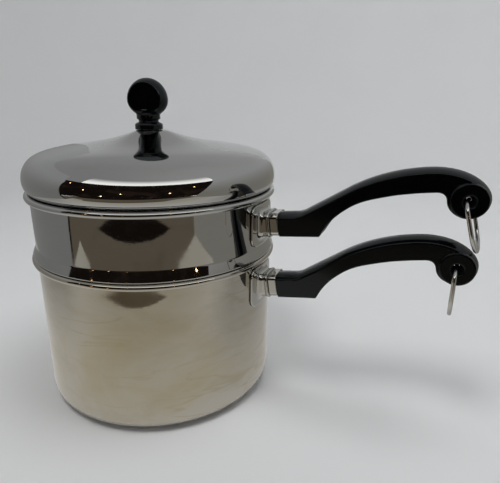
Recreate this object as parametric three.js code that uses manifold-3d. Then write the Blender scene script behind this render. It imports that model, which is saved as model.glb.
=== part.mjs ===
// Double boiler: a saucepan, an insert pan that nests in its mouth, and a bell-shaped lid.
// Millimetres, +Z up. The pans turn about Z, the saucepan stands on z = 0 and both handles point along +X.
import * as THREE from "three";
import { mergeVertices } from "three/addons/utils/BufferGeometryUtils.js";
import Module from "manifold-3d";

// Pans
const WALL_RADIUS = 80; // outside of both straight walls
const SHEET = 1; // stainless sheet
const BEAD_RADIUS = 2.1; // rolled rim
const LOWER_RIM = 100; // centre of the saucepan's bead above the floor
const RIM_STEP = 41.4; // from the saucepan's bead up to the insert's
const BASE_CORNER = 8; // outside radius between base and wall
const CLADDING = 1.8; // aluminium under the base
const CLADDING_EDGE = 0.6; // its chamfer
const NEST_DEPTH = 58; // insert below the saucepan's rim
const NEST_GAP = 1.4; // between the nested wall and the saucepan's wall
const NEST_CORNER = 13;
const FLARE_PROUD = 2.3; // the insert's wall flares out this far before it folds in under itself
const FLARE_TILT = 47; // degrees from upright at the steepest place
const FOLD_RADIUS = 1.4; // outside of the fold that rests on the saucepan's bead
const NEST_SHOULDER = 2; // round from the fold down to the nested wall

// Lid
const LID_SHEET = 0.9;
const LID_EDGE = 10.2; // radius of the bullnose below its widest line
const LID_FLANGE = 5; // locating flange below the bead's centre
const LID_FLANGE_GAP = 1.2; // between the flange and the insert's wall
const LID_SHOULDER_IN = 12.2; // where the bullnose meets the crown, in from the edge
const LID_SHOULDER_RISE = 25.6; // heights above the bead's centre
const LID_SHOULDER_SLOPE = 0.3;
const LID_WAIST_RADIUS = 52;
const LID_WAIST_RISE = 29.3;
const LID_WAIST_SLOPE = 0.14;
const LID_SEAT_SLOPE = 0.4;
const LID_RISE = 38.8; // flat seat of the knob
const LID_SEAT_MARGIN = 1.2; // seat beyond the knob's collar
const LID_SHOULDER_FULLNESS = 0.7; // pull of the bullnose's curve at its two ends
const LID_EDGE_FULLNESS = 0.45;

// Knob: a turned stem and a thick head with flat sides
const COLLAR_RADIUS = 8.9;
const COLLAR_HEIGHT = 4;
const NECK_RADIUS = 6.3;
const NECK_HEIGHT = 3;
const STEM_RING_RADIUS = 7.5;
const STEM_RING_HEIGHT = 2.5;
const STEM_ROUND = 0.8;
const HEAD_RADIUS = 13.8;
const HEAD_RISE = 9.3; // head's centre above the stem's ring
const HEAD_THICKNESS = 12.5;
const HEAD_EDGE_DEPTH = 5.5; // rounding of the rim, along and across the thickness
const HEAD_EDGE_WIDTH = 2.6;
const HEAD_FOOT = 0.2; // pulls of the curve from the stem to the head, as shares of the rise
const HEAD_CHEEK = 0.5;
const KNOB_TURN = 10; // degrees between the head's plane and the handles
const KNOB_SHIFT = 1.8; // off the lid's centre, as it was drilled
const KNOB_SHIFT_HEADING = 202; // degrees from the handles

// Handles: one profile for both, in the handle's own frame with x along it and z up from its axis
const HANDLE_DROP = 17; // axis at the wall below the bead's centre
const LOWER_TILT = 8.2; // degrees up, as each was welded on
const UPPER_TILT = 6.5;
const HEEL_HEIGHT = 14.4;
const HEEL_WIDTH = 17;
const HEEL_TOP_END = 24;
const HEEL_END = 39;
const KNEE_AT = 56;
const KNEE_RISE = 21;
const KNEE_SLOPE = 0.48;
const CREST_RISE = 30.6;
const GRIP_DEPTH = 13.1;
const GRIP_WIDTH = 18.4;
const LOBE_AT = 120;
const CREST_BACK = 20; // crest before the lobe's centre
const LOBE_RISE = 12.5;
const LOBE_RADIUS = 11;
const LOBE_WIDTH = 15.4;
const LOBE_FULLNESS = 0.4; // how far its end stays upright on the way to the crest
const BOSS_RADIUS = 9.4;
const BOSS_PROUD = 0.8;
const CROWN_RISE = 2.4; // the top falls this much from its middle to its edges
const CROWN_DEPTH = 8.2; // in this width
const HANDLE_ROUND = 1; // lower edges
const CORNER_RADIUS = 3; // of heel, ferrule and neck sections

// Bracket and ferrule
const FLANGE_WIDTH = 33;
const FLANGE_HEIGHT = 27;
const FLANGE_CORNER = 6;
const FLANGE_SHEET = 1.2;
const BRACKET_LENGTH = 7.8; // from the wall to the lip's face
const BRACKET_FILLET = 3; // between neck and flange
const BRACKET_PROUD = 0.6; // neck beyond the ferrule, all round
const LIP_LENGTH = 1.6;
const LIP_PROUD = 0.5;
const FERRULE_LENGTH = 5.4;
const FERRULE_SHEET = 0.7;

// Fasteners
const SCREW_RADIUS = 2;
const SCREW_HEAD_RADIUS = 3.6;
const SCREW_HEAD = 2.4;
const SCREW_SEAT = 30; // floor of the counterbore, along the handle
const SCREW_DROP = 1.2; // screw below the handle's axis
const WASHER_RADIUS = 4;
const WASHER = 0.8;
const NUT_WIDTH = 8;
const NUT_DEPTH = 3;
const INSERT_RADIUS = 3.9;
const INSERT_LENGTH = 7;
const KNOB_WASHER_RADIUS = 6.5;

// Hanging rings: a straight bar through the lobe, then a round loop
const WIRE_RADIUS = 1.15;
const LOOP_RADIUS = 13;
const LOOP_DROP = 28.8; // from the hole's axis to the middle of the wire at the bottom
const LOOP_CORNER = 6;
const HOLE_THROAT = 1.7; // the hole is waisted, so that a ring hangs loose
const HOLE_MOUTH = 3.4;
const LOWER_RING_TWIST = 5; // degrees that each ring stands skewed in its hole
const UPPER_RING_TWIST = 11;
const UPPER_RING_LEAN = 16; // degrees outwards, against the end of the lower handle

const FIT = 0.3; // gap between pieces that touch
const MERGE = 1e-4; // points closer than this are one
const ROUND = 44; // facets of a turned pan
const SMALL_ROUND = 24; // facets of a turned fastener or knob
const CURVE = 4; // steps of a curve in a profile
const OUTLINE_CURVE = 6; // steps of a curve in a thickened outline
const WIRE_SIDES = 8;
const OVERRUN = 5; // cutters reach past what they cut

const wall = WALL_RADIUS - SHEET;
const beadCentre = wall + BEAD_RADIUS;
const beadDrop = Math.sqrt(BEAD_RADIUS ** 2 - (beadCentre - WALL_RADIUS) ** 2);
const upperRim = LOWER_RIM + RIM_STEP;
const nestRadius = wall - NEST_GAP;
const lidRadius = beadCentre + BEAD_RADIUS;
const lidSeat = upperRim + LID_RISE;
const ferruleStart = BRACKET_LENGTH + FIT;
const heelStart = ferruleStart + FERRULE_LENGTH + FIT;
const crestAt = LOBE_AT - CREST_BACK;
const knobHeading = THREE.MathUtils.degToRad(KNOB_SHIFT_HEADING);
const knobPlace = [KNOB_SHIFT * Math.cos(knobHeading), KNOB_SHIFT * Math.sin(knobHeading), 0];

const STEEL = { color: 0xb9b7b2, roughness: 0.16, metalness: 1 };
const ALUMINIUM = { color: 0x9aa0a8, roughness: 0.4, metalness: 1 };
const BRASS = { color: 0xb08d4a, roughness: 0.35, metalness: 1 };
const PHENOLIC = { color: 0x0d0d0f, roughness: 0.28, metalness: 0 };

const wasm = await Module();
wasm.setup();

function point(x, y) {
  return new THREE.Vector2(x, y);
}

// A closed geometry as a solid that can be joined and cut.
function toSolid(geometry) {
  const bare = geometry.clone();
  bare.deleteAttribute("normal");
  bare.deleteAttribute("uv");
  const merged = mergeVertices(bare, MERGE);
  const corners = merged.index.array;
  const triVerts = [];
  for (let i = 0; i < corners.length; i += 3) {
    const [a, b, c] = corners.subarray(i, i + 3);
    if (a !== b && b !== c && c !== a) triVerts.push(a, b, c);
  }
  const mesh = new wasm.Mesh({
    numProp: 3,
    vertProperties: merged.getAttribute("position").array,
    triVerts: new Uint32Array(triVerts),
  });
  return new wasm.Manifold(mesh);
}

function toGeometry(solid) {
  const mesh = solid.getMesh();
  const geometry = new THREE.BufferGeometry();
  geometry.setAttribute("position", new THREE.BufferAttribute(mesh.vertProperties, 3));
  geometry.setIndex(new THREE.BufferAttribute(mesh.triVerts, 1));
  geometry.computeVertexNormals();
  return geometry;
}

function piece(name, geometry, finish) {
  const mesh = new THREE.Mesh(geometry, new THREE.MeshStandardMaterial(finish));
  mesh.name = name;
  return mesh;
}

function arc(x, y, radius, from, to, steps = CURVE) {
  return Array.from({ length: steps + 1 }, (_, i) => {
    const angle = from + ((to - from) * i) / steps;
    return point(x + radius * Math.cos(angle), y + radius * Math.sin(angle));
  });
}

function bezier(a, b, c, d, steps = CURVE) {
  return new THREE.CubicBezierCurve(a, b, c, d).getPoints(steps);
}

// A smooth line from one point and slope to another.
function blend(from, fromSlope, to, toSlope) {
  const third = (to.x - from.x) / 3;
  const leaving = point(from.x + third, from.y + third * fromSlope);
  const arriving = point(to.x - third, to.y - third * toSlope);
  return bezier(from, leaving, arriving, to);
}

// Lines end to end, without the points that they share.
function joined(...lines) {
  return lines.flat().filter((p, i, all) => i === 0 || p.distanceTo(all[i - 1]) > MERGE);
}

// A line moved sideways, to its left when followed from first to last.
function offset(line, distance) {
  const normals = line.slice(1).map((p, i) => {
    const along = p.clone().sub(line[i]).normalize();
    return point(-along.y, along.x);
  });
  return line.map((p, i) => {
    const before = normals[Math.max(i - 1, 0)];
    const after = normals[Math.min(i, normals.length - 1)];
    const mitre = before.clone().add(after).normalize();
    return p.clone().addScaledVector(mitre, distance / mitre.dot(before));
  });
}

// A solid of revolution about Z from (radius, height) points that run counter-clockwise.
function turned(profile, segments = ROUND) {
  return new THREE.LatheGeometry(profile, segments).rotateX(Math.PI / 2);
}

function cylinder(radius, from, to) {
  const profile = [point(0, from), point(radius, from), point(radius, to), point(0, to)];
  return turned(profile, SMALL_ROUND);
}

function tube(inner, outer, from, to, segments = SMALL_ROUND) {
  const profile = [
    point(inner, from),
    point(outer, from),
    point(outer, to),
    point(inner, to),
    point(inner, from),
  ];
  return turned(profile, segments);
}

// The same shapes lying along X instead of standing on Z.
function alongX(geometry) {
  return geometry.rotateY(Math.PI / 2);
}

// A closed surface through rings of points, capped at its ends or closed on itself.
function skin(rings, closed) {
  const count = rings[0].length;
  const spans = closed ? rings.length : rings.length - 1;
  const index = [];
  for (let i = 0; i < spans; i++) {
    for (let k = 0; k < count; k++) {
      const next = (k + 1) % count;
      const here = i * count;
      const there = ((i + 1) % rings.length) * count;
      index.push(here + k, here + next, there + next, here + k, there + next, there + k);
    }
  }
  const last = (rings.length - 1) * count;
  for (let k = 1; !closed && k < count - 1; k++) {
    index.push(0, k + 1, k, last, last + k, last + k + 1);
  }
  const geometry = new THREE.BufferGeometry().setFromPoints(rings.flat());
  geometry.setIndex(index);
  geometry.computeVertexNormals();
  return geometry;
}

function roundedRectangle(width, height, corner) {
  const x = width / 2 - corner;
  const y = height / 2 - corner;
  const centres = [point(x, y), point(-x, y), point(-x, -y), point(x, -y)];
  return centres.flatMap((c, i) => arc(c.x, c.y, corner, (i * Math.PI) / 2, ((i + 1) * Math.PI) / 2));
}

// A solid along X through rounded rectangles, each set at a place and grown all round.
function sleeve(width, height, stations) {
  const rings = stations.map(({ at, grow }) => {
    const corner = Math.max(CORNER_RADIUS + grow, FIT);
    const section = roundedRectangle(width + 2 * grow, height + 2 * grow, corner);
    return section.map((p) => new THREE.Vector3(at, p.x, p.y));
  });
  return skin(rings, false);
}

function straightSleeve(from, to, grow) {
  return sleeve(HEEL_WIDTH, HEEL_HEIGHT, [
    { at: from, grow },
    { at: to, grow },
  ]);
}

// A flat outline in the XZ plane thickened evenly to both sides, with its edges rounded.
function slab(shape, thickness, edge) {
  const straight = thickness - 2 * edge.depth;
  const geometry = new THREE.ExtrudeGeometry(shape, {
    depth: straight,
    curveSegments: OUTLINE_CURVE,
    bevelThickness: edge.depth,
    bevelSize: edge.width,
    bevelOffset: -edge.width,
    bevelSegments: edge.steps,
  });
  return geometry.translate(0, 0, -straight / 2).rotateX(Math.PI / 2);
}

// Pans

// The outside line of a wall, a rolled bead over its end, and the inside line back to the axis.
function panProfile(outside, rim) {
  const wallEnd = point(WALL_RADIUS, rim - beadDrop);
  const beadStart = Math.atan2(-beadDrop, WALL_RADIUS - beadCentre);
  const line = joined(outside, [wallEnd]);
  const bead = arc(beadCentre, rim, BEAD_RADIUS, beadStart, Math.PI, 2 * CURVE);
  return joined(line, bead, offset(line, SHEET).reverse());
}

function saucepanProfile() {
  const flat = WALL_RADIUS - BASE_CORNER;
  const corner = arc(flat, CLADDING + BASE_CORNER, BASE_CORNER, -Math.PI / 2, 0);
  return panProfile([point(0, CLADDING), ...corner], LOWER_RIM);
}

// The insert's wall flares out, folds under itself on the saucepan's bead and goes on inside its wall.
function insertProfile() {
  const floor = LOWER_RIM - NEST_DEPTH;
  const corner = arc(nestRadius - NEST_CORNER, floor + NEST_CORNER, NEST_CORNER, -Math.PI / 2, 0);
  const seat = LOWER_RIM + BEAD_RADIUS + FIT;
  const turn = nestRadius + NEST_SHOULDER;
  const shoulder = arc(turn, seat - NEST_SHOULDER, NEST_SHOULDER, Math.PI, Math.PI / 2);
  const tilt = THREE.MathUtils.degToRad(FLARE_TILT);
  const reach = FLARE_PROUD / (1 - Math.cos(tilt));
  const foldCentre = WALL_RADIUS + FLARE_PROUD - FOLD_RADIUS;
  const fold = arc(foldCentre, seat + FOLD_RADIUS, FOLD_RADIUS, -Math.PI / 2, tilt);
  const flareRadius = reach - FOLD_RADIUS;
  const flareTop = seat + FOLD_RADIUS + reach * Math.sin(tilt);
  const flare = arc(WALL_RADIUS + flareRadius, flareTop, flareRadius, Math.PI + tilt, Math.PI);
  return panProfile([point(0, floor), ...corner, ...shoulder, ...fold, ...flare], upperRim);
}

function cladding() {
  const edge = WALL_RADIUS - BASE_CORNER + CLADDING_EDGE;
  return turned([
    point(0, 0),
    point(edge - CLADDING_EDGE, 0),
    point(edge, CLADDING_EDGE),
    point(edge, CLADDING),
    point(0, CLADDING),
  ]);
}

// Handles

// The top of the side outline, from the end of the lobe back over the crest and down the knee to the heel.
function addTop(shape) {
  const heel = HEEL_HEIGHT / 2;
  const end = LOBE_AT + LOBE_RADIUS;
  const endRise = LOBE_RISE + (CREST_RISE - LOBE_RISE) * LOBE_FULLNESS;
  shape.bezierCurveTo(end, endRise, LOBE_AT, CREST_RISE, crestAt, CREST_RISE);
  const third = (crestAt - KNEE_AT) / 3;
  const kneeUp = KNEE_RISE + third * KNEE_SLOPE;
  shape.bezierCurveTo(crestAt - third, CREST_RISE, KNEE_AT + third, kneeUp, KNEE_AT, KNEE_RISE);
  const foot = KNEE_AT - (KNEE_RISE - heel) / KNEE_SLOPE;
  const round = foot - HEEL_TOP_END;
  shape.lineTo(foot + round, heel + KNEE_SLOPE * round);
  shape.quadraticCurveTo(foot, heel, HEEL_TOP_END, heel);
  shape.lineTo(heelStart - OVERRUN, heel);
}

// Side outline: flat heel, a step up, an arched grip and a round lobe at the end.
function handleSide() {
  const heel = HEEL_HEIGHT / 2;
  const under = CREST_RISE - GRIP_DEPTH;
  const gripEnd = LOBE_AT - LOBE_RADIUS;
  const shape = new THREE.Shape();
  shape.moveTo(heelStart - OVERRUN, -heel);
  shape.lineTo(HEEL_END, -heel);
  shape.bezierCurveTo(HEEL_END + heel, heel / 2, KNEE_AT, under, crestAt, under);
  shape.lineTo(gripEnd - LOBE_RADIUS / 2, under);
  shape.quadraticCurveTo(gripEnd, under, gripEnd, LOBE_RISE);
  shape.absarc(LOBE_AT, LOBE_RISE, LOBE_RADIUS, Math.PI, 2 * Math.PI, false);
  addTop(shape);
  return slab(shape, GRIP_WIDTH, { depth: HANDLE_ROUND, width: HANDLE_ROUND, steps: 1 });
}

// A block under the same top, which it crowns.
function handleCrown() {
  const shape = new THREE.Shape();
  shape.moveTo(heelStart - OVERRUN, -CREST_RISE);
  shape.lineTo(LOBE_AT + LOBE_RADIUS, -CREST_RISE);
  shape.lineTo(LOBE_AT + LOBE_RADIUS, LOBE_RISE);
  addTop(shape);
  return slab(shape, GRIP_WIDTH, { depth: CROWN_DEPTH, width: CROWN_RISE, steps: 3 });
}

// Top outline: a little wider at the grip than at the heel, and thinner at the lobe.
function handlePlan() {
  const end = LOBE_AT + LOBE_RADIUS + OVERRUN;
  const lobeStart = LOBE_AT - LOBE_RADIUS;
  const shape = new THREE.Shape();
  shape.moveTo(heelStart, -HEEL_WIDTH / 2);
  shape.bezierCurveTo(HEEL_END, -HEEL_WIDTH / 2, HEEL_END, -GRIP_WIDTH / 2, KNEE_AT, -GRIP_WIDTH / 2);
  shape.bezierCurveTo(crestAt, -GRIP_WIDTH / 2, crestAt, -LOBE_WIDTH / 2, lobeStart, -LOBE_WIDTH / 2);
  shape.lineTo(end, -LOBE_WIDTH / 2);
  shape.lineTo(end, LOBE_WIDTH / 2);
  shape.lineTo(lobeStart, LOBE_WIDTH / 2);
  shape.bezierCurveTo(crestAt, LOBE_WIDTH / 2, crestAt, GRIP_WIDTH / 2, KNEE_AT, GRIP_WIDTH / 2);
  shape.bezierCurveTo(HEEL_END, GRIP_WIDTH / 2, HEEL_END, HEEL_WIDTH / 2, heelStart, HEEL_WIDTH / 2);
  return shape;
}

// A waisted hole across the lobe, and the discs round its mouths.
function lobeHole() {
  const face = LOBE_WIDTH / 2 + BOSS_PROUD;
  const mouth = HOLE_MOUTH + ((HOLE_MOUTH - HOLE_THROAT) * OVERRUN) / face;
  const profile = [
    point(0, -face - OVERRUN),
    point(mouth, -face - OVERRUN),
    point(HOLE_THROAT, 0),
    point(mouth, face + OVERRUN),
    point(0, face + OVERRUN),
  ];
  return turned(profile, SMALL_ROUND).rotateX(Math.PI / 2).translate(LOBE_AT, 0, LOBE_RISE);
}

function lobeBosses() {
  const face = LOBE_WIDTH / 2 + BOSS_PROUD;
  return cylinder(BOSS_RADIUS, -face, face).rotateX(Math.PI / 2).translate(LOBE_AT, 0, LOBE_RISE);
}

function handle() {
  const height = 2 * (CREST_RISE + OVERRUN);
  const plan = new THREE.ExtrudeGeometry(handlePlan(), {
    depth: height,
    bevelEnabled: false,
    curveSegments: OUTLINE_CURVE,
  });
  const tenon = straightSleeve(ferruleStart, heelStart + OVERRUN, -FERRULE_SHEET - FIT);
  const bore = alongX(cylinder(SCREW_RADIUS + FIT, 0, SCREW_SEAT + OVERRUN));
  const counterbore = alongX(cylinder(WASHER_RADIUS + 2 * FIT, SCREW_SEAT, KNEE_AT));
  const screwPath = toSolid(bore).add(toSolid(counterbore)).translate(0, 0, -SCREW_DROP);
  const body = toSolid(handleSide())
    .intersect(toSolid(handleCrown()))
    .intersect(toSolid(plan.translate(0, 0, -height / 2)))
    .add(toSolid(lobeBosses()))
    .add(toSolid(tenon));
  return toGeometry(body.subtract(toSolid(lobeHole())).subtract(screwPath));
}

// A stamped bracket: a flange bent to the wall, and a hollow neck with a filleted root and a lip at its end.
function bracket(tilt) {
  const flat = roundedRectangle(FLANGE_WIDTH, FLANGE_HEIGHT, FLANGE_CORNER);
  const blank = skin(
    [0, 2 * WALL_RADIUS].map((x) => flat.map((p) => new THREE.Vector3(x, p.x, p.y))),
    false,
  );
  const inner = WALL_RADIUS + FIT;
  const wrap = tube(inner, inner + FLANGE_SHEET, -FLANGE_HEIGHT, FLANGE_HEIGHT, ROUND);
  const root = FLANGE_SHEET / 2;
  const sweep = arc(root + BRACKET_FILLET, BRACKET_FILLET, BRACKET_FILLET, -Math.PI, -Math.PI / 2);
  const fillet = sweep.map((p) => ({ at: p.x, grow: BRACKET_PROUD + p.y }));
  const lip = BRACKET_LENGTH - LIP_LENGTH;
  const neck = sleeve(HEEL_WIDTH, HEEL_HEIGHT, [
    { at: -OVERRUN, grow: BRACKET_PROUD + BRACKET_FILLET },
    ...fillet,
    { at: lip - LIP_PROUD, grow: BRACKET_PROUD },
    { at: lip, grow: BRACKET_PROUD + LIP_PROUD },
    { at: BRACKET_LENGTH, grow: BRACKET_PROUD + LIP_PROUD },
  ]);
  const hollow = straightSleeve(-2 * OVERRUN, BRACKET_LENGTH - FLANGE_SHEET, BRACKET_PROUD - FLANGE_SHEET);
  const hole = alongX(cylinder(SCREW_RADIUS + FIT, 0, BRACKET_LENGTH + OVERRUN));
  const place = (geometry) => toSolid(geometry.rotateY(-tilt).translate(WALL_RADIUS, 0, 0));
  const pan = turned([
    point(0, -2 * FLANGE_HEIGHT),
    point(inner, -2 * FLANGE_HEIGHT),
    point(inner, 2 * FLANGE_HEIGHT),
    point(0, 2 * FLANGE_HEIGHT),
  ]);
  const flange = toSolid(blank).intersect(toSolid(wrap));
  const solid = flange.add(place(neck).subtract(toSolid(pan)));
  return toGeometry(solid.subtract(place(hollow)).subtract(place(hole.translate(0, 0, -SCREW_DROP))));
}

function nut() {
  const start = BRACKET_LENGTH - FLANGE_SHEET - FIT - NUT_DEPTH;
  const block = new THREE.BoxGeometry(NUT_DEPTH, NUT_WIDTH, NUT_WIDTH);
  const bore = alongX(cylinder(SCREW_RADIUS + FIT, start - OVERRUN, start + NUT_DEPTH + OVERRUN));
  const solid = toSolid(block).translate(start + NUT_DEPTH / 2, 0, 0).subtract(toSolid(bore));
  return toGeometry(solid).translate(0, 0, -SCREW_DROP);
}

function ferrule() {
  const end = ferruleStart + FERRULE_LENGTH;
  const outside = toSolid(straightSleeve(ferruleStart, end, 0));
  const inside = toSolid(straightSleeve(ferruleStart - OVERRUN, end + OVERRUN, -FERRULE_SHEET));
  return toGeometry(outside.subtract(inside));
}

// A screw along Z with its tip at one height and the underside of its domed head at another.
function screw(tip, seat) {
  return turned(
    [
      point(0, tip),
      point(SCREW_RADIUS, tip),
      point(SCREW_RADIUS, seat),
      point(SCREW_HEAD_RADIUS, seat),
      point(SCREW_HEAD_RADIUS, seat + SCREW_HEAD / 2),
      point(SCREW_HEAD_RADIUS - SCREW_HEAD / 2, seat + SCREW_HEAD),
      point(0, seat + SCREW_HEAD),
    ],
    SMALL_ROUND,
  );
}

// A wire loop in the YZ plane, hung from a straight bar at the origin.
function hangingRing() {
  const side = LOOP_RADIUS - LOOP_CORNER;
  const line = joined(
    arc(side, -LOOP_CORNER, LOOP_CORNER, 0, Math.PI / 2),
    arc(-side, -LOOP_CORNER, LOOP_CORNER, Math.PI / 2, Math.PI),
    arc(0, LOOP_RADIUS - LOOP_DROP, LOOP_RADIUS, Math.PI, 2 * Math.PI, 3 * CURVE),
  );
  const rings = line.map((p, i) => {
    const before = line.at(i - 1);
    const after = line[(i + 1) % line.length];
    const along = after.clone().sub(before).normalize();
    return arc(0, 0, WIRE_RADIUS, 0, 2 * Math.PI, WIRE_SIDES)
      .slice(1)
      .map((s) => new THREE.Vector3(s.y, p.x - along.y * s.x, p.y + along.x * s.x));
  });
  return skin(rings, true);
}

// Lid

function lidOutside() {
  const edge = lidRadius - LID_EDGE;
  const reach = LID_EDGE + BEAD_RADIUS + FIT;
  const widest = upperRim + Math.sqrt(reach ** 2 - (beadCentre - edge) ** 2);
  const flange = wall - LID_FLANGE_GAP;
  const shoulder = point(lidRadius - LID_SHOULDER_IN, upperRim + LID_SHOULDER_RISE);
  const waist = point(LID_WAIST_RADIUS, upperRim + LID_WAIST_RISE);
  const seat = point(COLLAR_RADIUS + LID_SEAT_MARGIN, lidSeat);
  const rise = shoulder.y - widest;
  const pull = LID_SHOULDER_IN * LID_SHOULDER_FULLNESS;
  return joined(
    [point(0, lidSeat)],
    blend(seat, -LID_SEAT_SLOPE, waist, -LID_WAIST_SLOPE),
    blend(waist, -LID_WAIST_SLOPE, shoulder, -LID_SHOULDER_SLOPE),
    bezier(
      shoulder,
      point(shoulder.x + pull, shoulder.y - pull * LID_SHOULDER_SLOPE),
      point(lidRadius, widest + rise * LID_EDGE_FULLNESS),
      point(lidRadius, widest),
    ),
    arc(edge, widest, LID_EDGE, 0, -Math.acos((flange - edge) / LID_EDGE)),
    [point(flange, upperRim - LID_FLANGE)],
  );
}

function lidDome() {
  const outside = lidOutside();
  const inside = offset(outside, -LID_SHEET);
  const shell = toSolid(turned(joined(inside, outside.reverse())));
  const hole = cylinder(SCREW_RADIUS + FIT, lidSeat - OVERRUN, lidSeat + OVERRUN).translate(...knobPlace);
  return toGeometry(shell.subtract(toSolid(hole)));
}

// Turned stem up to the head, as (radius, height) from the lid.
function knobStem() {
  const neck = COLLAR_HEIGHT + NECK_HEIGHT;
  const ring = neck + STEM_RING_HEIGHT;
  return turned(
    [
      point(0, 0),
      point(COLLAR_RADIUS, 0),
      point(COLLAR_RADIUS, COLLAR_HEIGHT - STEM_ROUND),
      point(COLLAR_RADIUS - STEM_ROUND, COLLAR_HEIGHT),
      point(NECK_RADIUS, COLLAR_HEIGHT + STEM_ROUND),
      point(NECK_RADIUS, neck - STEM_ROUND),
      point(STEM_RING_RADIUS, neck),
      point(STEM_RING_RADIUS, ring),
      point(NECK_RADIUS, ring + STEM_ROUND),
      point(NECK_RADIUS, ring + HEAD_EDGE_WIDTH),
      point(0, ring + HEAD_EDGE_WIDTH),
    ],
    SMALL_ROUND,
  );
}

// The head's outline: round above, drawn in to the stem below.
function knobHead() {
  const base = COLLAR_HEIGHT + NECK_HEIGHT + STEM_RING_HEIGHT;
  const centre = base + HEAD_RISE;
  const low = base + HEAD_RISE * HEAD_FOOT;
  const high = base + HEAD_RISE * HEAD_CHEEK;
  const middle = (STEM_RING_RADIUS + HEAD_RADIUS) / 2;
  const shape = new THREE.Shape();
  shape.moveTo(STEM_RING_RADIUS, base);
  shape.bezierCurveTo(middle, low, HEAD_RADIUS, high, HEAD_RADIUS, centre);
  shape.absarc(0, centre, HEAD_RADIUS, 0, Math.PI, false);
  shape.bezierCurveTo(-HEAD_RADIUS, high, -middle, low, -STEM_RING_RADIUS, base);
  return slab(shape, HEAD_THICKNESS, { depth: HEAD_EDGE_DEPTH, width: HEAD_EDGE_WIDTH, steps: 4 });
}

function knob() {
  const turn = THREE.MathUtils.degToRad(KNOB_TURN);
  const pocket = cylinder(INSERT_RADIUS + FIT, -OVERRUN, INSERT_LENGTH + 2 * FIT);
  return toGeometry(
    toSolid(knobStem())
      .add(toSolid(knobHead().rotateZ(turn)))
      .subtract(toSolid(pocket)),
  );
}

// Assembly

function handleSet(name, rim, tiltDegrees, ringLean, ringTwist) {
  const tilt = THREE.MathUtils.degToRad(tiltDegrees);
  const washerAt = SCREW_SEAT + FIT;
  const headAt = washerAt + WASHER + FIT;
  const nutAt = BRACKET_LENGTH - FLANGE_SHEET - FIT - NUT_DEPTH;
  const set = new THREE.Group();
  set.position.z = rim - HANDLE_DROP;

  const arm = new THREE.Group();
  arm.position.x = WALL_RADIUS;
  arm.rotation.y = -tilt;
  const shank = alongX(screw(nutAt, headAt)).translate(0, 0, -SCREW_DROP);
  const washer = alongX(tube(SCREW_RADIUS + FIT, WASHER_RADIUS, washerAt, washerAt + WASHER));
  arm.add(
    piece(name + "_bracket_nut", nut(), STEEL),
    piece(name + "_ferrule", ferrule(), STEEL),
    piece(name + "_handle", handle(), PHENOLIC),
    piece(name + "_handle_screw", shank, STEEL),
    piece(name + "_screw_washer", washer.translate(0, 0, -SCREW_DROP), STEEL),
  );

  const ring = piece(name + "_hanging_ring", hangingRing(), STEEL);
  const sag = HOLE_THROAT - WIRE_RADIUS - FIT;
  ring.position.set(
    WALL_RADIUS + LOBE_AT * Math.cos(tilt) - LOBE_RISE * Math.sin(tilt),
    0,
    LOBE_AT * Math.sin(tilt) + LOBE_RISE * Math.cos(tilt) - sag,
  );
  const lean = THREE.MathUtils.degToRad(ringLean);
  const twist = THREE.MathUtils.degToRad(ringTwist);
  ring.rotation.set(0, -lean, -twist, "ZYX");

  set.add(piece(name + "_bracket", bracket(tilt), STEEL), arm, ring);
  return set;
}

// The knob sits on the lid. Its screw comes up from below through a washer into a bush in the stem.
function knobSet() {
  const under = lidSeat - LID_SHEET - FIT;
  const washerLow = under - WASHER;
  const stemAt = lidSeat + FIT;
  const bushAt = stemAt + FIT;
  const bushEnd = bushAt + INSERT_LENGTH;
  const shank = screw(-(bushEnd - FIT), -(washerLow - FIT)).rotateX(Math.PI);
  const set = new THREE.Group();
  set.position.set(...knobPlace);
  set.add(
    piece("lid_knob", knob().translate(0, 0, stemAt), PHENOLIC),
    piece("knob_insert", tube(SCREW_RADIUS + FIT, INSERT_RADIUS, bushAt, bushEnd), BRASS),
    piece("knob_washer", tube(SCREW_RADIUS + FIT, KNOB_WASHER_RADIUS, washerLow, under), STEEL),
    piece("knob_screw", shank, STEEL),
  );
  return set;
}

const doubleBoiler = new THREE.Group();
doubleBoiler.add(
  piece("lower_pan_shell", turned(saucepanProfile()), STEEL),
  piece("lower_base_cladding", cladding(), ALUMINIUM),
  handleSet("lower", LOWER_RIM, LOWER_TILT, 0, LOWER_RING_TWIST),
  piece("upper_pan_shell", turned(insertProfile()), STEEL),
  handleSet("upper", upperRim, UPPER_TILT, UPPER_RING_LEAN, UPPER_RING_TWIST),
  piece("lid_dome", lidDome(), STEEL),
  knobSet(),
);

export default doubleBoiler;
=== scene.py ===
"""Looks of a double boiler: saucepan, insert pan, lid, moulded handles and hanging rings."""
import math

import bpy
import numpy as np
from mathutils import Matrix, Vector


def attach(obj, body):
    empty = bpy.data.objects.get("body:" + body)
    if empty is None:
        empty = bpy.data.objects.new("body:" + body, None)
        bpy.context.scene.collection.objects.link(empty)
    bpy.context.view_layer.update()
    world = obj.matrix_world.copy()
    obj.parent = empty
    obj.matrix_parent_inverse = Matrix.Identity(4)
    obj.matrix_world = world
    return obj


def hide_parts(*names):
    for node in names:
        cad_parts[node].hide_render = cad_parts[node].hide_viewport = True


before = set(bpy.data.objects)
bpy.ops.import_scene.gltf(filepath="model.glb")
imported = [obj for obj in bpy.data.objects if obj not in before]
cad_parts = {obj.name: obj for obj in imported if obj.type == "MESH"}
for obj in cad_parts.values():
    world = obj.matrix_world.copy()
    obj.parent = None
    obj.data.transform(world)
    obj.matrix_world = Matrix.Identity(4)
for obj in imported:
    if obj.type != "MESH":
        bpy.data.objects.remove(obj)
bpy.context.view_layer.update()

# Sizes in millimetres, from the CAD source apart from details that only the scene has.
WALL_RADIUS = 80.0
SHEET = 1.0
BEAD_RADIUS = 2.1
LOWER_RIM = 100.0
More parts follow.
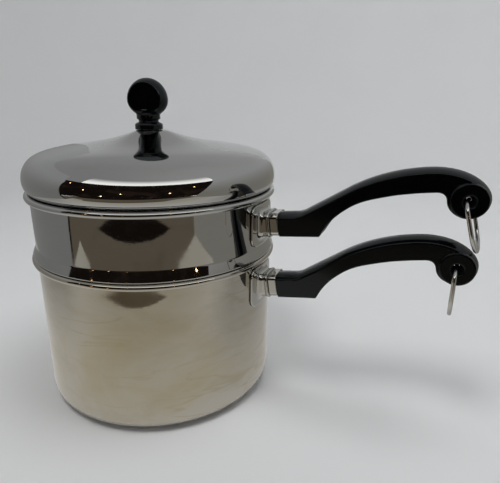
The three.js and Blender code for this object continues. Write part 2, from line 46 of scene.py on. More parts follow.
UPPER_RIM = 141.4
BASE_CORNER = 8.0
CLADDING = 1.8
CLADDING_EDGE = 0.6
NEST_DEPTH = 58.0
NEST_RADIUS = 77.6
NEST_CORNER = 13.0
NEST_SHOULDER = 2.0
FLARE_PROUD = 2.3
FLARE_TILT = math.radians(22.5)
FLARE_RADIUS = 3.0
FOLD_RADIUS = 1.0
# Height at which a slight flare starts under each bead, and its growth.
LIP_FLARES = {LOWER_RIM: (93.3, 0.0039), UPPER_RIM: (133.2, 0.0028)}
LIP_DROP = 1.8

LID_SHEET = 0.9
LID_RADIUS = 83.2
LID_EDGE = 10.2
LID_FLANGE = 5.0
LID_FLANGE_GAP = 1.2
LID_SHOULDER_IN = 12.2
LID_SHOULDER_RISE = 25.6
LID_SHOULDER_SLOPE = 0.3
LID_SHOULDER_FULLNESS = 0.7
LID_EDGE_FULLNESS = 0.45
LID_WAIST_RADIUS = 52.0
LID_WAIST_RISE = 29.3
LID_WAIST_SLOPE = 0.14
LID_SEAT_SLOPE = 0.4
LID_SEAT_RADIUS = 10.1
LID_SEAT = UPPER_RIM + 38.8

COLLAR_RADIUS = 8.9
COLLAR_HEIGHT = 4.0
NECK_RADIUS = 6.3
NECK_HEIGHT = 3.0
STEM_RING_RADIUS = 7.5
STEM_RING_HEIGHT = 2.5
STEM_ROUND = 0.8
HEAD_RADIUS = 13.8
HEAD_RISE = 9.3
HEAD_THICKNESS = 12.5
HEAD_EDGE_WIDTH = 2.6
HEAD_FOOT = 0.2
HEAD_CHEEK = 0.5
KNOB_TURN = math.radians(10)
KNOB_SHIFT = 1.8
KNOB_HEADING = math.radians(202)
INSERT_RADIUS = 3.9
INSERT_LENGTH = 7.0

HANDLE_DROP = 17.0
TILTS = {"lower": math.radians(8.2), "upper": math.radians(6.5)}
RIMS = {"lower": LOWER_RIM, "upper": UPPER_RIM}
HEEL_HEIGHT = 14.4
HEEL_WIDTH = 17.0
HEEL_TOP_END = 24.0
HEEL_END = 39.0
KNEE_AT = 56.0
KNEE_RISE = 21.0
KNEE_SLOPE = 0.48
CREST_AT = 100.0
CREST_RISE = 30.6
GRIP_DEPTH = 13.1
GRIP_WIDTH = 18.4
LOBE_AT = 120.0
LOBE_RISE = 12.5
LOBE_RADIUS = 11.0
LOBE_WIDTH = 15.4
LOBE_FULLNESS = 0.4
BOSS_RADIUS = 9.4
BOSS_PROUD = 0.8
CORNER_RADIUS = 3.0
CROWN_RISE = 2.4
# Share of the half width where a crown stops falling, and how the handle's fades at its sides.
CROWN_END = 1.1
CROWN_FADE = 3.5
LOBE_MARGIN = 2.0
# The hole leaves room for the ring to swing. It is dull up to an edge round its mouth.
HOLE_THROAT = 1.7
HOLE_MOUTH = 3.7
HOLE_PLAY = 0.15
DULL_EDGE = (0.7, 0.1)

FLANGE_WIDTH = 33.0
FLANGE_HEIGHT = 27.0
FLANGE_CORNER = 6.0
FLANGE_SHEET = 1.2
BRACKET_LENGTH = 7.8
BRACKET_FILLET = 3.0
BRACKET_PROUD = 0.6
LIP_LENGTH = 1.6
LIP_PROUD = 0.5
FERRULE_START = 8.1
FERRULE_LENGTH = 5.4
FERRULE_SHEET = 0.7
HEEL_START = 13.8

SCREW_RADIUS = 2.0
SCREW_HEAD_RADIUS = 3.6
SCREW_HEAD = 2.4
SCREW_SEAT = 30.0
SCREW_DROP = 1.2
SCREW_DOME = 4.75
SCREW_DOME_DEPTH = 2.4
SCREW_SLOT = 0.5
SCREW_SLOT_FLOOR = 0.45
SCREW_OVERLAP = 0.5
BORE_OVERLAP = 5.0
WASHER_RADIUS = 4.0
WASHER = 0.8
NUT_DEPTH = 3.0
WIRE_RADIUS = 1.15
LOOP_RADIUS = 13.0
LOOP_DROP = 28.8
LOOP_CORNER = 6.0
RING_TWISTS = {"lower": math.radians(5), "upper": math.radians(8.5)}
RING_LEANS = {"lower": 0.0, "upper": math.radians(16)}
FIT = 0.3
MM = 0.001

# Radii of edges and fillets.
HANDLE_EDGE = 0.4
HEEL_EDGE = 0.35
BOSS_EDGE = 0.4
BOSS_FILLET = 0.25
HOLE_EDGE = 0.2
BORE_EDGE = 0.3
FLANGE_EDGE = 0.5
NECK_EDGE = 0.5
LIP_EDGE = 0.6
FERRULE_EDGE = 0.45
SCREW_EDGE = 0.3
HEAD_EDGE = 0.3
HEAD_FILLET = 0.8
STEM_EDGE = 0.25
STEM_FOOT = 0.3

# Each gridded mesh: its cell and the two corners of its grid.
HANDLE_GRID = (0.5, (8, -9.8, -8), (134, 9.8, 32))
FERRULE_GRID = (0.36, (8, -9, -8), (14, 9, 8))
BRACKET_GRID = (0.45, (77, -17, -14), (90, 17, 14))
SCREW_GRID = (0.3, (3, -4, -4), (36, 4, 4))
KNOB_GRID = (0.38, (-14, -14, 0), (14, 14, 34))
KNOB_SCREW_MARGINS = (1, 4)
TURNED_SIDES = 256
WIRE_SIDES = 18

# Angles in degrees past which an edge is shaded sharp.
SHARP_TURNED = 40.0
SHARP_PRESSED = 50.0
SHARP_MOULDED = 60.0

# How the points of a gridded mesh are moved onto the surface.
SURFACE_ROUNDS = 5
SURFACE_PROBE = 0.05
LEAST_SLOPE = 0.05
LONGEST_MOVE = 0.7

# The camera's place and axes, from the photograph.
CAMERA_AT = Vector((0.17662, -0.26185, 0.20038))
CAMERA_RIGHT = Vector((0.92721, 0.37446, 0.00760))
CAMERA_UP = Vector((-0.12053, 0.27910, 0.95267))
CAMERA_LENS = 32.16
CAMERA_SENSOR = 36.0
CAMERA_CLIP = 0.01

# Directions: to the camera and to its right, to the side of the saucepan that the straw tint darkens,
# out of the tent and to its right, and up.
FRONT = Vector((0.5592, -0.8290, 0.0))
SIDE = Vector((0.8290, 0.5592, 0.0))
STRAW_SIDE = FRONT * 0.94 - SIDE * 0.34
TENT_OUT = Vector((0.3722, -0.9281, 0.0))
TENT_RIGHT = Vector((0.9281, 0.3722, 0.0))
UPWARDS = Vector((0.0, 0.0, 1.0))

# Stage, in metres: a floor, a cove and a wall, and a dome over them that only reflections show.
FLOOR_RADII = (0.02, 0.4, 0.9)
COVE_RADIUS = 0.6
STAGE_WALL = (1.5, 2.2)
STAGE_SIDES = 96
DOME_RADIUS = 1.45
DOME_FOOT = math.radians(22)
DOME_ROWS = 12
DOME_SIDES = 64
DOME_WIDTH = (-0.9, 0.9)
DOME_HORIZON = (0.50, 0.80)

# Cards that only reflections show. Places are in millimetres on the floor, out of the tent and
# to its right, and card heights are in metres.
PAPER_RADII = (83, 700)
PAPER_SIDES = 64
PAPER_HEIGHT = 0.0005
PAPER_FADE = (0.06, 0.27)
PAPER_SIDE_LIGHT = 0.6
PAPER_MIDDLE = 0.04
PAPER_ASIDE = (0.06, 0.28)
PAPER_ASIDE_END = 0.7
TABLE_HEIGHT = 0.0010
TABLE_PLACES = [
    (236, -620), (171, -323), (279, -395), (265, -265), (224, -240), (262, 0), (274, 88), (335, 169),
    (352, 239), (367, 342), (460, 430), (540, 430), (420, -620),
]
DARK_HEIGHT = 0.0015
DARK_PLACES = [(406, -620), (526, 430), (640, 600), (840, 300), (880, -100), (760, -480), (600, -680)]
LEFT_PLACES, LEFT_HEIGHTS = [(-700, -330), (120, -330), (168, -330)], (0.42, 0.42, 0.30)
EDGE_PLACES, EDGE_HEIGHTS = [(168, -330), (186, -348)], (0.30, 0.30)
RIGHT_PLACES = [(-700, 322), (150, 320), (190, 320), (375, 344)]
RIGHT_HEIGHTS = (0.42, 0.42, 0.30, 0.04)
WALL_FADE = (0.10, 0.34)
STRIP_FADE = (0.65, 1.15)

# Curved cards: radius, the two ends in degrees from the camera's direction to its right, and heights.
ROOM_SCREEN = (0.88, -89, 60, 0.0, 0.63)
STRIP_SCREEN = (0.90, -66, 55, 0.64, 1.15)

# Lamps of the room: the same angles, and heights.
LAMP_RADIUS = 0.009
LAMP_DISTANCE = 0.85
LAMP_STRENGTH = 12.0
LAMPS = ((-74, 0.51), (-58, 0.275), (-43, 0.06), (-27, 0.165), (11, 0.165), (32, 0.39))

# Lights: place, target, size, power and colour.
KEY = ((-0.02, -0.43, 1.05), (0.0, 0.05, 0.0), 0.34, 3.3, (1, 1, 1))
FILL = ((0.42, 0.1, 1.5), (0.35, 1.3, 0.5), 0.9, 9.0, (0.95, 0.98, 1.0))
WORLD_COLOUR = (0.97, 0.985, 1.0, 1)
WORLD_STRENGTH = 0.27

# Colours
STEEL_BRIGHT, STEEL_STAIN = (0.54, 0.54, 0.53, 1), (0.49, 0.48, 0.46, 1)
USED_BRIGHT, USED_STAIN = (0.57, 0.55, 0.51, 1), (0.50, 0.47, 0.41, 1)
STAMPED_BRIGHT, STAMPED_STAIN = (0.55, 0.55, 0.53, 1), (0.47, 0.46, 0.43, 1)
TIDE_MARK = (0.40, 0.34, 0.22, 1)
STRAW = (0.48, 0.42, 0.26, 1)
ALUMINIUM_PALE, ALUMINIUM_DULL = (0.60, 0.61, 0.63, 1), (0.46, 0.44, 0.41, 1)
BRASS_PALE, BRASS_DULL = (0.69, 0.53, 0.26, 1), (0.52, 0.38, 0.18, 1)
WIRE_PALE, WIRE_DULL = (0.66, 0.66, 0.65, 1), (0.56, 0.55, 0.53, 1)
BLACK_DEEP, BLACK_PALE = (0.0005, 0.0007, 0.0011, 1), (0.0010, 0.0012, 0.0017, 1)
BLACK_SHINE = (0.84, 0.95, 1.0, 1)
DUST = (0.10, 0.10, 0.095, 1)
FLOOR_PALE, FLOOR_SHADE = (0.80, 0.80, 0.80, 1), (0.77, 0.77, 0.77, 1)
ROOM_DARK, ROOM_PATCH = (0.008, 0.006, 0.005, 1), (0.022, 0.014, 0.010, 1)
TABLE_LIT, TABLE_PATCH = (0.128, 0.106, 0.079, 1), (0.104, 0.084, 0.061, 1)
PAPER_NEAR, PAPER_FAR = (0.56, 0.55, 0.53, 1), (0.40, 0.375, 0.32, 1)
LEFT_LOW, LEFT_HIGH = (0.22, 0.22, 0.215, 1), (0.34, 0.345, 0.35, 1)
RIGHT_LOW, RIGHT_HIGH = (0.24, 0.23, 0.205, 1), (0.39, 0.395, 0.40, 1)
SKY_LEFT, SKY_RIGHT = (0.29, 0.295, 0.295, 1), (0.39, 0.395, 0.395, 1)
SKY_HORIZON = (0.45, 0.455, 0.46, 1)
STRIP_LOW, STRIP_HIGH = (1.55, 1.55, 1.53, 1), (0.38, 0.385, 0.38, 1)
LAMP_WARM = (1.0, 0.62, 0.30, 1)


# Lines

def arc(x, z, radius, start, end, steps):
    angles = np.linspace(start, end, steps + 1)
    return np.stack([x + radius * np.cos(angles), z + radius * np.sin(angles)], 1)


def bezier(a, b, c, d, steps):
    t = np.linspace(0, 1, steps + 1)[:, None]
    a, b, c, d = (np.asarray(p, float) for p in (a, b, c, d))
    return (1 - t) ** 3 * a + 3 * (1 - t) ** 2 * t * b + 3 * (1 - t) * t * t * c + t ** 3 * d


def quadratic(a, b, c, steps):
    t = np.linspace(0, 1, steps + 1)[:, None]
    a, b, c = (np.asarray(p, float) for p in (a, b, c))
    return (1 - t) ** 2 * a + 2 * (1 - t) * t * b + t * t * c


def blend(a, slope_a, b, slope_b, steps):
    """A smooth line from one point and slope to another."""
    third = (b[0] - a[0]) / 3
    leaving = (a[0] + third, a[1] + third * slope_a)
    arriving = (b[0] - third, b[1] - third * slope_b)
    return bezier(a, leaving, arriving, b, steps)


def joined(*lines):
    """Lines end to end, without the points that they share."""
    points = np.concatenate([np.atleast_2d(np.asarray(line, float)) for line in lines])
    keep = np.ones(len(points), bool)
    keep[1:] = np.linalg.norm(np.diff(points, axis=0), axis=1) > 1e-4
    return points[keep]


def offset(line, distance):
    """A line moved to its left."""
    along = np.diff(line, axis=0)
    along /= np.linalg.norm(along, axis=1)[:, None]
    normals = np.stack([-along[:, 1], along[:, 0]], 1)
    before = np.concatenate([normals[:1], normals])
    after = np.concatenate([normals, normals[-1:]])
    mitre = before + after
    mitre /= np.linalg.norm(mitre, axis=1)[:, None]
    return line + mitre * (distance / (mitre * before).sum(1))[:, None]


# Meshes

def piece(name, points, faces, body, nodes, material, sharp=SHARP_TURNED):
    """A mesh in the frame, from points in millimetres, that stands for CAD nodes."""
    mesh = bpy.data.meshes.new(name)
    mesh.from_pydata((np.asarray(points) * MM).tolist(), [], [list(f) for f in faces])
    mesh.validate()
    mesh.shade_smooth()
    mesh.set_sharp_from_angle(angle=math.radians(sharp))
    mesh.materials.append(material)
    obj = bpy.data.objects.new(name, mesh)
    bpy.context.scene.collection.objects.link(obj)
    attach(obj, body)
    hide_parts(*nodes)
    return obj


def lathe(profile, segments=TURNED_SIDES):
    """Points and faces of a closed profile turned about Z. Profile points are (radius, height)."""
    points, rows = [], []
    turns = np.linspace(0, 2 * math.pi, segments, endpoint=False)
    for radius, height in profile:
        if radius < 1e-6:
            rows.append([len(points)] * segments)
            points.append((0.0, 0.0, height))
        else:
            rows.append(list(range(len(points), len(points) + segments)))
            points.extend(zip(radius * np.cos(turns), radius * np.sin(turns), [height] * segments))
    faces = []
    for here, there in zip(rows, rows[1:] + rows[:1]):
        for i in range(segments):
            j = (i + 1) % segments
            corners = [here[i], here[j], there[j], there[i]]
            unique = list(dict.fromkeys(corners))
            if len(unique) > 2:
                faces.append(unique)
    return points, faces


def sweep(centres, sides, radius, across):
    """A closed round wire along a closed line of points. Across leaves the line's plane."""
    count = len(centres)
    along = np.roll(centres, -1, 0) - np.roll(centres, 1, 0)
    along /= np.linalg.norm(along, axis=1)[:, None]
    out = np.cross(along, across)
    turns = np.linspace(0, 2 * math.pi, sides, endpoint=False)
    rings = [centres + radius * (math.cos(a) * out + math.sin(a) * across) for a in turns]
    points = np.stack(rings, 1).reshape(-1, 3)
    faces = []
    for i in range(count):
        for k in range(sides):
            here, there = i * sides, (i + 1) % count * sides
            nxt = (k + 1) % sides
            faces.append((here + k, there + k, there + nxt, here + nxt))
    return points, faces


def surface(field, cell, low, high):
    """Points and faces of a field's zero level, one point in each grid cell that it crosses."""
    axes = [np.arange(a - 1.5 * cell, b + 2 * cell, cell) for a, b in zip(low, high)]
    value = np.broadcast_to(field(*np.ix_(*axes)), [len(a) for a in axes])
    solid = value < 0
    count = sum(
        solid[i:i + solid.shape[0] - 1, j:j + solid.shape[1] - 1, k:k + solid.shape[2] - 1].astype(int)
        for i in (0, 1) for j in (0, 1) for k in (0, 1)
    )
    mixed = np.nonzero((count > 0) & (count < 8))
    number = np.full(count.shape, -1)
    number[mixed] = np.arange(len(mixed[0]))
    points = np.stack([a[m] + cell / 2 for a, m in zip(axes, mixed)], 1)
    step = cell * SURFACE_PROBE
    for _ in range(SURFACE_ROUNDS):
        here = field(*points.T)
        slope = np.stack(
            [(field(*(points + d).T) - field(*(points - d).T)) / (2 * step) for d in np.eye(3) * step], 1
        )
        move = -here[:, None] * slope / np.maximum((slope ** 2).sum(1), LEAST_SLOPE)[:, None]
        length = np.linalg.norm(move, axis=1)[:, None]
        points = points + move * np.minimum(1, LONGEST_MOVE * cell / np.maximum(length, 1e-9))
    faces = []
    for axis in range(3):
        s, n = np.moveaxis(solid, axis, 0), np.moveaxis(number, axis, 0)
        below, above = s[:-1, 1:-1, 1:-1], s[1:, 1:-1, 1:-1]
        i, j, k = np.nonzero(below != above)
        quads = np.stack([n[i, j, k], n[i, j + 1, k], n[i, j + 1, k + 1], n[i, j, k + 1]], 1)
        turn = below[i, j, k] == (axis == 1)
        quads[turn] = quads[turn][:, ::-1]
        faces.extend(quads.tolist())
    return points, faces


# Fields: negative inside a solid, in millimetres

def round_max(a, b, radius):
    """Where two solids meet, with a rounded edge."""
    corner = np.sqrt(np.maximum(a + radius, 0) ** 2 + np.maximum(b + radius, 0) ** 2)
    return np.minimum(np.maximum(a, b), -radius) + corner


def round_min(a, b, radius):
    """Two solids joined, with a fillet."""
    return -round_max(-a, -b, radius)


def outline_field(x, z, outline):
    """Distance from a closed outline."""
    nearest, inside = np.inf, False
    for (ax, az), (bx, bz) in zip(outline, np.roll(outline, -1, 0)):
        ex, ez = bx - ax, bz - az
        px, pz = x - ax, z - az
        t = np.clip((px * ex + pz * ez) / (ex * ex + ez * ez), 0, 1)
        nearest = np.minimum(nearest, (px - t * ex) ** 2 + (pz - t * ez) ** 2)
        if abs(ez) > 1e-9:
            inside = inside ^ (((az > z) != (bz > z)) & (px < ex * pz / ez))
    return np.where(inside, -1, 1) * np.sqrt(nearest)


def rectangle_field(y, z, width, height, corner):
    """Distance from a rounded rectangle about the origin."""
    a = np.abs(y) - (width / 2 - corner)
    b = np.abs(z) - (height / 2 - corner)
    return np.minimum(np.maximum(a, b), 0) + np.hypot(np.maximum(a, 0), np.maximum(b, 0)) - corner


def crown(w, width, rise):
    """How far a crowned face has fallen at a distance from its middle."""
    return rise * np.clip(np.abs(w) / width, 0, CROWN_END) ** 2


# Pans

def pan_profile(outside, rim):
    """The outside line, a rolled bead over its end and the inside line back to the axis."""
    bead_centre = WALL_RADIUS - SHEET + BEAD_RADIUS
    flare_start, growth = LIP_FLARES[rim]
    end = WALL_RADIUS + growth * (rim - LIP_DROP - flare_start) ** 2
    drop = math.sqrt(BEAD_RADIUS ** 2 - (bead_centre - end) ** 2)
    start = math.atan2(-drop, end - bead_centre)
    wall = [(WALL_RADIUS, z) for z in np.linspace(outside[-1][1], flare_start, 8)]
    rise = np.linspace(0, rim - drop - flare_start, 14)[1:]
    line = joined(outside, wall, np.stack([WALL_RADIUS + growth * rise ** 2, flare_start + rise], 1))
    bead = arc(bead_centre, rim, BEAD_RADIUS, start, math.pi, 28)
    return joined(line, bead, offset(line, SHEET)[::-1])


def saucepan_profile():
    flat = WALL_RADIUS - BASE_CORNER
    base = [(r, CLADDING) for r in np.linspace(0, flat, 12)]
    corner = arc(flat, CLADDING + BASE_CORNER, BASE_CORNER, -math.pi / 2, 0, 16)
    return pan_profile(joined(base, corner), LOWER_RIM)


def insert_profile():
    floor = LOWER_RIM - NEST_DEPTH
    base = [(r, floor) for r in np.linspace(0, NEST_RADIUS - NEST_CORNER, 10)]
    corner = arc(NEST_RADIUS - NEST_CORNER, floor + NEST_CORNER, NEST_CORNER, -math.pi / 2, 0, 18)
    seat = LOWER_RIM + BEAD_RADIUS + FIT
    shoulder_centre = NEST_RADIUS + NEST_SHOULDER
    shoulder = arc(shoulder_centre, seat - NEST_SHOULDER, NEST_SHOULDER, math.pi, math.pi / 2, 10)
    fold_centre = WALL_RADIUS + FLARE_PROUD - FOLD_RADIUS
    fold = arc(fold_centre, seat + FOLD_RADIUS, FOLD_RADIUS, -math.pi / 2, FLARE_TILT, 16)
    cone_top = WALL_RADIUS + FLARE_RADIUS * (1 - math.cos(FLARE_TILT))
    cone = (fold[-1][0] - cone_top) / math.tan(FLARE_TILT)
    flare_top = fold[-1][1] + cone + FLARE_RADIUS * math.sin(FLARE_TILT)
    flare = arc(WALL_RADIUS + FLARE_RADIUS, flare_top, FLARE_RADIUS, math.pi + FLARE_TILT, math.pi, 12)
    return pan_profile(joined(base, corner, shoulder, fold, flare), UPPER_RIM)


def cladding_profile():
    edge = WALL_RADIUS - BASE_CORNER + CLADDING_EDGE
    under = [(r, 0.0) for r in np.linspace(0, edge - CLADDING_EDGE, 24)]
    return joined(under, [(edge, CLADDING_EDGE), (edge, CLADDING), (0, CLADDING)])


def lid_profile():
    edge = LID_RADIUS - LID_EDGE
    bead_centre = WALL_RADIUS - SHEET + BEAD_RADIUS
    reach = LID_EDGE + BEAD_RADIUS + FIT
    widest = UPPER_RIM + math.sqrt(reach ** 2 - (bead_centre - edge) ** 2)
    flange = WALL_RADIUS - SHEET - LID_FLANGE_GAP
    shoulder = (LID_RADIUS - LID_SHOULDER_IN, UPPER_RIM + LID_SHOULDER_RISE)
    waist = (LID_WAIST_RADIUS, UPPER_RIM + LID_WAIST_RISE)
    rise = shoulder[1] - widest
    pull = LID_SHOULDER_IN * LID_SHOULDER_FULLNESS
    outside = joined(
        [(0, LID_SEAT)],
        blend((LID_SEAT_RADIUS, LID_SEAT), -LID_SEAT_SLOPE, waist, -LID_WAIST_SLOPE, 20),
        blend(waist, -LID_WAIST_SLOPE, shoulder, -LID_SHOULDER_SLOPE, 20),
        bezier(
            shoulder,
            (shoulder[0] + pull, shoulder[1] - pull * LID_SHOULDER_SLOPE),
            (LID_RADIUS, widest + rise * LID_EDGE_FULLNESS),
            (LID_RADIUS, widest),
            28,
        ),
        arc(edge, widest, LID_EDGE, 0, -math.acos((flange - edge) / LID_EDGE), 16),
        [(flange, UPPER_RIM - LID_FLANGE)],
    )
    return joined(offset(outside, -LID_SHEET), outside[::-1])


# Handles, in a frame with x along the handle from the wall, y across and z up

def handle_top(steps):
    """The top of the side outline, from the end of the lobe back to the heel."""
    heel = HEEL_HEIGHT / 2
    end = LOBE_AT + LOBE_RADIUS
    end_rise = LOBE_RISE + (CREST_RISE - LOBE_RISE) * LOBE_FULLNESS
    foot = KNEE_AT - (KNEE_RISE - heel) / KNEE_SLOPE
    turn = foot - HEEL_TOP_END
    return joined(
        bezier((end, LOBE_RISE), (end, end_rise), (LOBE_AT, CREST_RISE), (CREST_AT, CREST_RISE), steps),
        blend((CREST_AT, CREST_RISE), 0, (KNEE_AT, KNEE_RISE), KNEE_SLOPE, steps),
        quadratic((foot + turn, heel + KNEE_SLOPE * turn), (foot, heel), (HEEL_TOP_END, heel), steps),
        [(0, heel)],
    )


def handle_under(steps):
    """The underside, from the heel out to the lobe and round it."""
    heel = HEEL_HEIGHT / 2
    under = CREST_RISE - GRIP_DEPTH
    grip_end = LOBE_AT - LOBE_RADIUS
    return joined(
        [(0, -heel)],
        bezier(
            (HEEL_END, -heel), (HEEL_END + heel, heel / 2), (KNEE_AT, under), (CREST_AT, under), 2 * steps
        ),
        quadratic((grip_end - LOBE_RADIUS / 2, under), (grip_end, under), (grip_end, LOBE_RISE), steps),
        arc(LOBE_AT, LOBE_RISE, LOBE_RADIUS, math.pi, 2 * math.pi, 2 * steps),
    )


SIDE_OUTLINE = joined(handle_under(14), handle_top(14))
# Heights half way between top and underside, for distances from the wall.
MIDDLE_LINE = ((0, 30, 56, 80, 100, 112, 120, 126, 133), (0, 1, 12, 20.5, 23.5, 20, 14, 6, -8))
LOBE_FACE = LOBE_WIDTH / 2 + BOSS_PROUD


def ease(x, start, end):
    t = np.clip((x - start) / (end - start), 0, 1)
    return t * t * (3 - 2 * t)


def crowned(x, z):
    """Share of the crown: whole on top of the handle and round its end, none underneath."""
    share = ease(z - np.interp(x, *MIDDLE_LINE), -CROWN_FADE, CROWN_FADE)
    round_lobe = ease(np.arctan2(LOBE_RISE - z, LOBE_AT - x), 0, math.pi / 2)
    return np.where((x > LOBE_AT - LOBE_RADIUS - LOBE_MARGIN) & (z < LOBE_RISE), round_lobe, share)


def handle_field(x, y, z):
    half = HEEL_WIDTH / 2 + (GRIP_WIDTH - HEEL_WIDTH) / 2 * ease(x, HEEL_START, KNEE_AT)
    half = half + (LOBE_WIDTH - GRIP_WIDTH) / 2 * ease(x, KNEE_AT, LOBE_AT - LOBE_RADIUS)
    sides = np.abs(y) - half
    side_face = outline_field(x, z, SIDE_OUTLINE)
    top = side_face + crown(y, half, CROWN_RISE) * crowned(x, z)
    body = round_max(top, sides, HANDLE_EDGE)
    body = round_max(body, HEEL_START - x, HEEL_EDGE)
    from_hole = np.hypot(x - LOBE_AT, z - LOBE_RISE)
    boss = round_max(from_hole - BOSS_RADIUS, np.abs(y) - LOBE_FACE, BOSS_EDGE)
    body = round_min(body, boss, BOSS_FILLET)
    inset = FERRULE_SHEET + FIT
    tenon = rectangle_field(y, z, HEEL_WIDTH - 2 * inset, HEEL_HEIGHT - 2 * inset, CORNER_RADIUS - inset)
    body = np.minimum(body, np.maximum(tenon, np.abs(x - HEEL_START) - (HEEL_START - FERRULE_START)))
    waist = WIRE_RADIUS + HOLE_PLAY
    wire_drop = HOLE_THROAT - WIRE_RADIUS - FIT
    hole = np.hypot(x - LOBE_AT, z - LOBE_RISE + wire_drop) - waist
    hole = hole - (HOLE_MOUTH - wire_drop - waist) * np.abs(y) / LOBE_FACE
    body = round_max(body, -hole, HOLE_EDGE)
    from_screw = np.hypot(y, z + SCREW_DROP)
    bore = np.maximum(from_screw - SCREW_RADIUS - FIT, x - SCREW_SEAT - BORE_OVERLAP)
    counterbore = np.maximum(from_screw - WASHER_RADIUS - 2 * FIT, SCREW_SEAT - x)
    return round_max(body, -np.minimum(bore, np.maximum(counterbore, x - KNEE_AT)), BORE_EDGE)


def placed(points, name):
    """Points of a handle's frame in the object's frame."""
    tilt = TILTS[name]
    x, y, z = np.asarray(points).T
    return np.stack([
        WALL_RADIUS + x * math.cos(tilt) - z * math.sin(tilt),
        y,
        RIMS[name] - HANDLE_DROP + x * math.sin(tilt) + z * math.cos(tilt),
    ], 1)


def bracket_field(tilt):
    def field(x, y, z):
        """x from the pans' axis, z from the handle's axis at the wall."""
        inner = WALL_RADIUS + FIT
        from_axis = np.hypot(x, y)
        u = (x - WALL_RADIUS) * math.cos(tilt) + z * math.sin(tilt)
        v = z * math.cos(tilt) - (x - WALL_RADIUS) * math.sin(tilt)
        sheet = np.abs(from_axis - inner - FLANGE_SHEET / 2) - FLANGE_SHEET / 2
        plate = rectangle_field(y, z, FLANGE_WIDTH, FLANGE_HEIGHT, FLANGE_CORNER)
        flange = round_max(sheet, plate, FLANGE_EDGE)
        grow = BRACKET_PROUD
        neck = rectangle_field(y, v, HEEL_WIDTH + 2 * grow, HEEL_HEIGHT + 2 * grow, CORNER_RADIUS + grow)
        neck = round_max(neck, u - BRACKET_LENGTH, NECK_EDGE)
        solid = round_min(flange, neck, BRACKET_FILLET)
        lip = BRACKET_PROUD + LIP_PROUD
        rim = rectangle_field(y, v, HEEL_WIDTH + 2 * lip, HEEL_HEIGHT + 2 * lip, CORNER_RADIUS + lip)
        middle = BRACKET_LENGTH - LIP_LENGTH / 2
        rim = round_max(rim, np.abs(u - middle) - LIP_LENGTH / 2, LIP_EDGE)
        solid = round_min(solid, rim, LIP_EDGE)
        solid = np.maximum(solid, inner - from_axis)
        thin = BRACKET_PROUD - FLANGE_SHEET
        hollow = rectangle_field(y, v, HEEL_WIDTH + 2 * thin, HEEL_HEIGHT + 2 * thin, CORNER_RADIUS + thin)
        hollow = np.maximum(hollow, u - BRACKET_LENGTH + FLANGE_SHEET)
        hole = np.hypot(y, v + SCREW_DROP) - SCREW_RADIUS - FIT
        return np.maximum(solid, -np.minimum(hollow, hole))
    return field


def ferrule_field(x, y, z):
    outside = rectangle_field(y, z, HEEL_WIDTH, HEEL_HEIGHT, CORNER_RADIUS)
    ends = np.abs(x - FERRULE_START - FERRULE_LENGTH / 2) - FERRULE_LENGTH / 2
    inset = 2 * FERRULE_SHEET
    inside = rectangle_field(y, z, HEEL_WIDTH - inset, HEEL_HEIGHT - inset, CORNER_RADIUS - FERRULE_SHEET)
    return np.maximum(round_max(outside, ends, FERRULE_EDGE), -inside)


def screw_field(tip, seat):
    """A screw along x with a domed head, slotted, whose underside is at the seat."""
    def field(x, y, z):
        around = np.hypot(y, z)
        shank = np.maximum(around - SCREW_RADIUS, np.maximum(tip - x, x - seat - SCREW_OVERLAP))
        dome = np.hypot(x - seat + SCREW_DOME_DEPTH, around) - SCREW_DOME
        head = round_max(np.maximum(around - SCREW_HEAD_RADIUS, seat - x), dome, SCREW_EDGE)
        slot = np.maximum(np.abs(y) - SCREW_SLOT, seat + SCREW_HEAD * SCREW_SLOT_FLOOR - x)
        return np.minimum(shank, np.maximum(head, -slot))
    return field


def ring_line():
    """The loop's middle line in the YZ plane, from a straight bar at the origin."""
    side = LOOP_RADIUS - LOOP_CORNER
    flat = joined(
        arc(side, -LOOP_CORNER, LOOP_CORNER, 0, math.pi / 2, 16),
        arc(-side, -LOOP_CORNER, LOOP_CORNER, math.pi / 2, math.pi, 16),
        arc(0, LOOP_RADIUS - LOOP_DROP, LOOP_RADIUS, math.pi, 2 * math.pi, 56),
    )
    return np.stack([np.zeros(len(flat)), flat[:, 0], flat[:, 1]], 1)


def ring_place(name):
    tilt = TILTS[name]
    sag = HOLE_THROAT - WIRE_RADIUS - FIT
    at = Vector((
        WALL_RADIUS + LOBE_AT * math.cos(tilt) - LOBE_RISE * math.sin(tilt),
        0,
        RIMS[name] - HANDLE_DROP + LOBE_AT * math.sin(tilt) + LOBE_RISE * math.cos(tilt) - sag,
    ))
    turn = Matrix.Rotation(-RING_TWISTS[name], 3, "Z") @ Matrix.Rotation(-RING_LEANS[name], 3, "Y")
    return np.array(turn), np.array(at)


# Knob

def knob_head_outline():
    base = COLLAR_HEIGHT + NECK_HEIGHT + STEM_RING_HEIGHT
    centre = base + HEAD_RISE
    low = base + HEAD_RISE * HEAD_FOOT
    high = base + HEAD_RISE * HEAD_CHEEK
    middle = (STEM_RING_RADIUS + HEAD_RADIUS) / 2
    half = bezier((STEM_RING_RADIUS, base), (middle, low), (HEAD_RADIUS, high), (HEAD_RADIUS, centre), 14)
    return joined(half, arc(0, centre, HEAD_RADIUS, 0, math.pi, 48), half[::-1] * (-1, 1))


